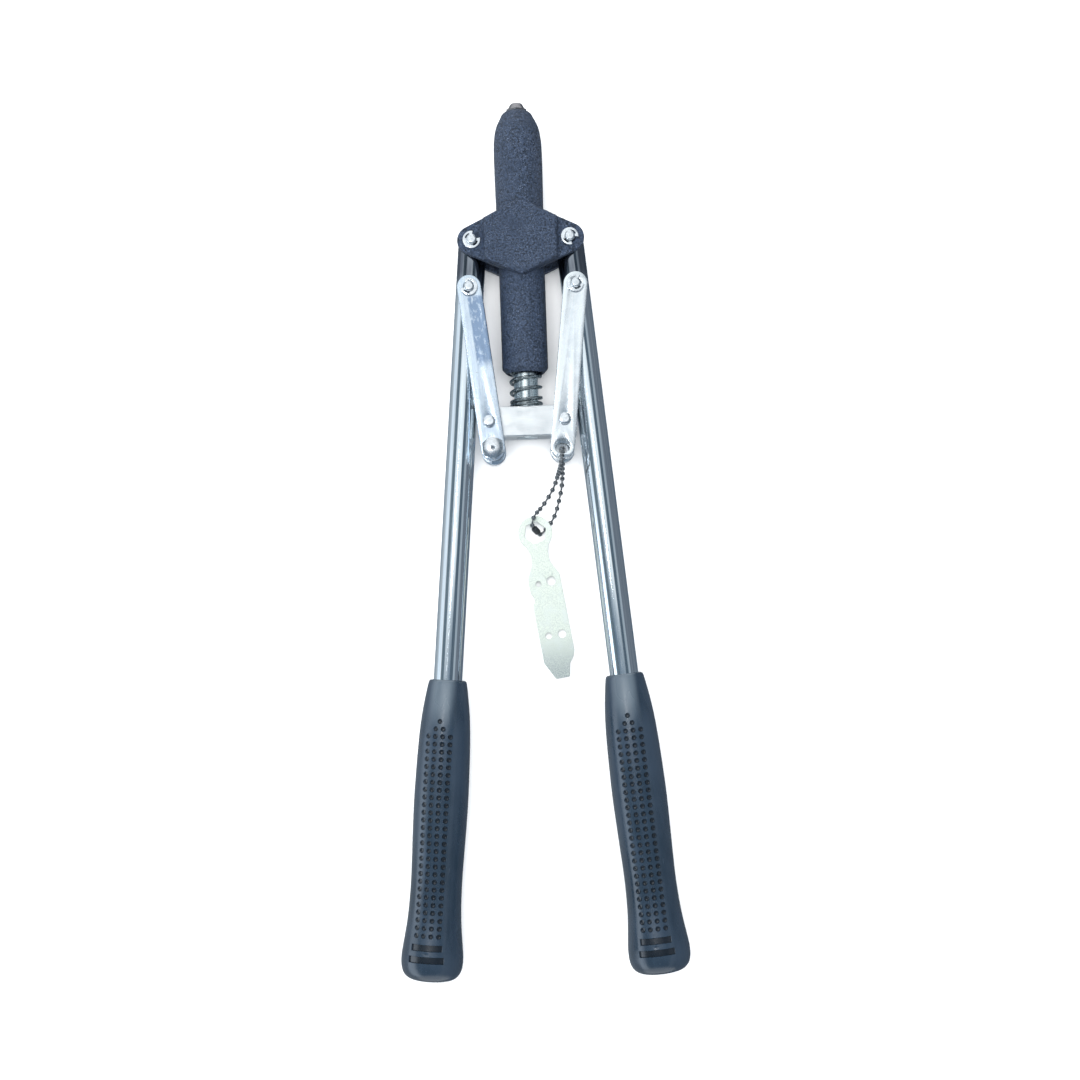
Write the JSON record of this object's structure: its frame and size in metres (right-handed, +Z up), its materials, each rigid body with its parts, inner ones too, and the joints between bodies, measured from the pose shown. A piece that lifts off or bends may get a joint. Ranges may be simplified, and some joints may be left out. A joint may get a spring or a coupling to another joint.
{
  "type": "hand riveter",
  "caption": "Long-arm two-handed lever blind riveter with tube arms, link plates on a crossbar, stored nosepieces, and a flat spanner on a ball chain.",
  "frame": {"origin": "centre of the footprint of the tool lying flat with closed arms, on the surface it rests on, without the chain and spanner", "axes": "+Y along the tool towards the nose, +X to the right seen from above, +Z up out of the surface"},
  "size_m": [0.1398, 0.4325, 0.03],
  "materials": {
    "dark_coat": "dark slate-navy textured powder coat with fine sparkle",
    "nosepiece_steel": "plated machined steel",
    "bright_zinc": "bright zinc plated pins and clips",
    "spring_steel": "oiled spring wire",
    "steel": "turned grey steel",
    "zinc_plate": "pale blue zinc plated flat bar, fine grain along the bar",
    "chrome_tube": "bright chrome plated tube",
    "grip_vinyl": "dark navy semi-gloss dipped vinyl with rows of small dimples",
    "chain_steel": "dark nickel ball chain",
    "spanner_steel": "tumbled zinc plated sheet steel"
  },
  "bodies": {
    "head": {"head_casting": "dark_coat", "nose_sleeve": "dark_coat", "mounted_nosepiece": "nosepiece_steel", "left_ear_pin": "bright_zinc", "right_ear_pin": "bright_zinc", "left_ear_clip": "bright_zinc", "right_ear_clip": "bright_zinc", "return_spring": "spring_steel"},
    "drawbar": {"pull_rod": "steel", "crossbar": "zinc_plate", "rod_set_screw": "steel", "jaw_case": "steel", "jaw_case_locknut": "steel", "jaw_spring": "spring_steel"},
    "jaw_pusher": {"jaw_pusher": "steel"},
    "jaw_1": {"jaw_1": "steel"},
    "jaw_2": {"jaw_2": "steel"},
    "jaw_3": {"jaw_3": "steel"},
    "left_arm": {"left_arm_tube": "chrome_tube", "left_tube_plug": "steel", "left_grip": "grip_vinyl"},
    "left_link": {"left_link_front": "zinc_plate", "left_link_back": "zinc_plate", "left_link_pin": "bright_zinc", "left_link_clip": "bright_zinc", "left_crossbar_pin": "bright_zinc", "spare_nosepiece_small": "nosepiece_steel", "spare_nosepiece_medium": "nosepiece_steel"},
    "right_arm": {"right_arm_tube": "chrome_tube", "right_tube_plug": "steel", "right_grip": "grip_vinyl"},
    "right_link": {"right_link_front": "zinc_plate", "right_link_back": "zinc_plate", "right_link_pin": "bright_zinc", "right_link_clip": "bright_zinc", "right_crossbar_pin": "bright_zinc", "spare_nosepiece_large": "nosepiece_steel"},
    "chain": {"chain_strand_a": "chain_steel", "chain_strand_b": "chain_steel", "chain_clasp": "chain_steel"},
    "spanner": {"nozzle_spanner": "spanner_steel"}
  },
  "joints": [
    {"name": "left_arm_swing", "type": "hinge", "parent": "head", "child": "left_arm", "pos_m": [-0.0243, 0.14474, 0.015], "axis": [0, 0, -1], "range_deg": [0, 50]},
    {"name": "right_arm_swing", "type": "hinge", "parent": "head", "child": "right_arm", "pos_m": [0.0243, 0.14474, 0.015], "axis": [0, 0, 1], "range_deg": [0, 50]},
    {"name": "left_link_turn", "type": "hinge", "parent": "left_arm", "child": "left_link", "pos_m": [-0.02633, 0.12153, 0.015], "axis": [0, 0, 1], "range_deg": [0, 65.42]},
    {"name": "right_link_turn", "type": "hinge", "parent": "right_arm", "child": "right_link", "pos_m": [0.02633, 0.12153, 0.015], "axis": [0, 0, -1], "range_deg": [0, 65.42]},
    {"name": "drawbar_slide", "type": "slide", "parent": "head", "child": "drawbar", "axis": [0, 1, 0], "range_m": [0, 0.01421], "stiffness_N_per_m": 1200, "springref_m": -0.008, "deforming": ["return_spring"]},
    {"name": "jaw_pusher_slide", "type": "slide", "parent": "drawbar", "child": "jaw_pusher", "axis": [0, -1, 0], "range_m": [0, 0.00255], "deforming": ["jaw_spring"]},
    {"name": "jaw_1_slide", "type": "slide", "parent": "drawbar", "child": "jaw_1", "axis": [0, -0.9829, 0.184], "range_m": [0, 0.00259]},
    {"name": "jaw_2_slide", "type": "slide", "parent": "drawbar", "child": "jaw_2", "axis": [-0.1593, -0.9829, -0.092], "range_m": [0, 0.00259]},
    {"name": "jaw_3_slide", "type": "slide", "parent": "drawbar", "child": "jaw_3", "axis": [0.1593, -0.9829, -0.092], "range_m": [0, 0.00259]},
    {"name": "chain_swing", "type": "hinge", "parent": "right_link", "child": "chain", "pos_m": [0.01706, 0.04086, 0.015], "axis": [0, 0, 1], "range_deg": [-12, 12]},
    {"name": "spanner_swing", "type": "hinge", "parent": "chain", "child": "spanner", "pos_m": [0.002, 0.00034, 0.0043], "axis": [0, 0, 1], "range_deg": [-35, 35]}
  ],
  "couplings": [
    {"joint": "right_arm_swing", "follows": "left_arm_swing", "ratio": 1},
    {"joint": "left_link_turn", "follows": "left_arm_swing", "ratio": 1.2984},
    {"joint": "right_link_turn", "follows": "left_arm_swing", "ratio": 1.2984},
    {"joint": "drawbar_slide", "follows": "left_arm_swing", "m_per_rad": 0.016163},
    {"joint": "jaw_pusher_slide", "follows": "left_arm_swing", "m_per_rad": 0.0028648},
    {"joint": "jaw_1_slide", "follows": "left_arm_swing", "m_per_rad": 0.0029145},
    {"joint": "jaw_2_slide", "follows": "left_arm_swing", "m_per_rad": 0.0029145},
    {"joint": "jaw_3_slide", "follows": "left_arm_swing", "m_per_rad": 0.0029145}
  ]
}
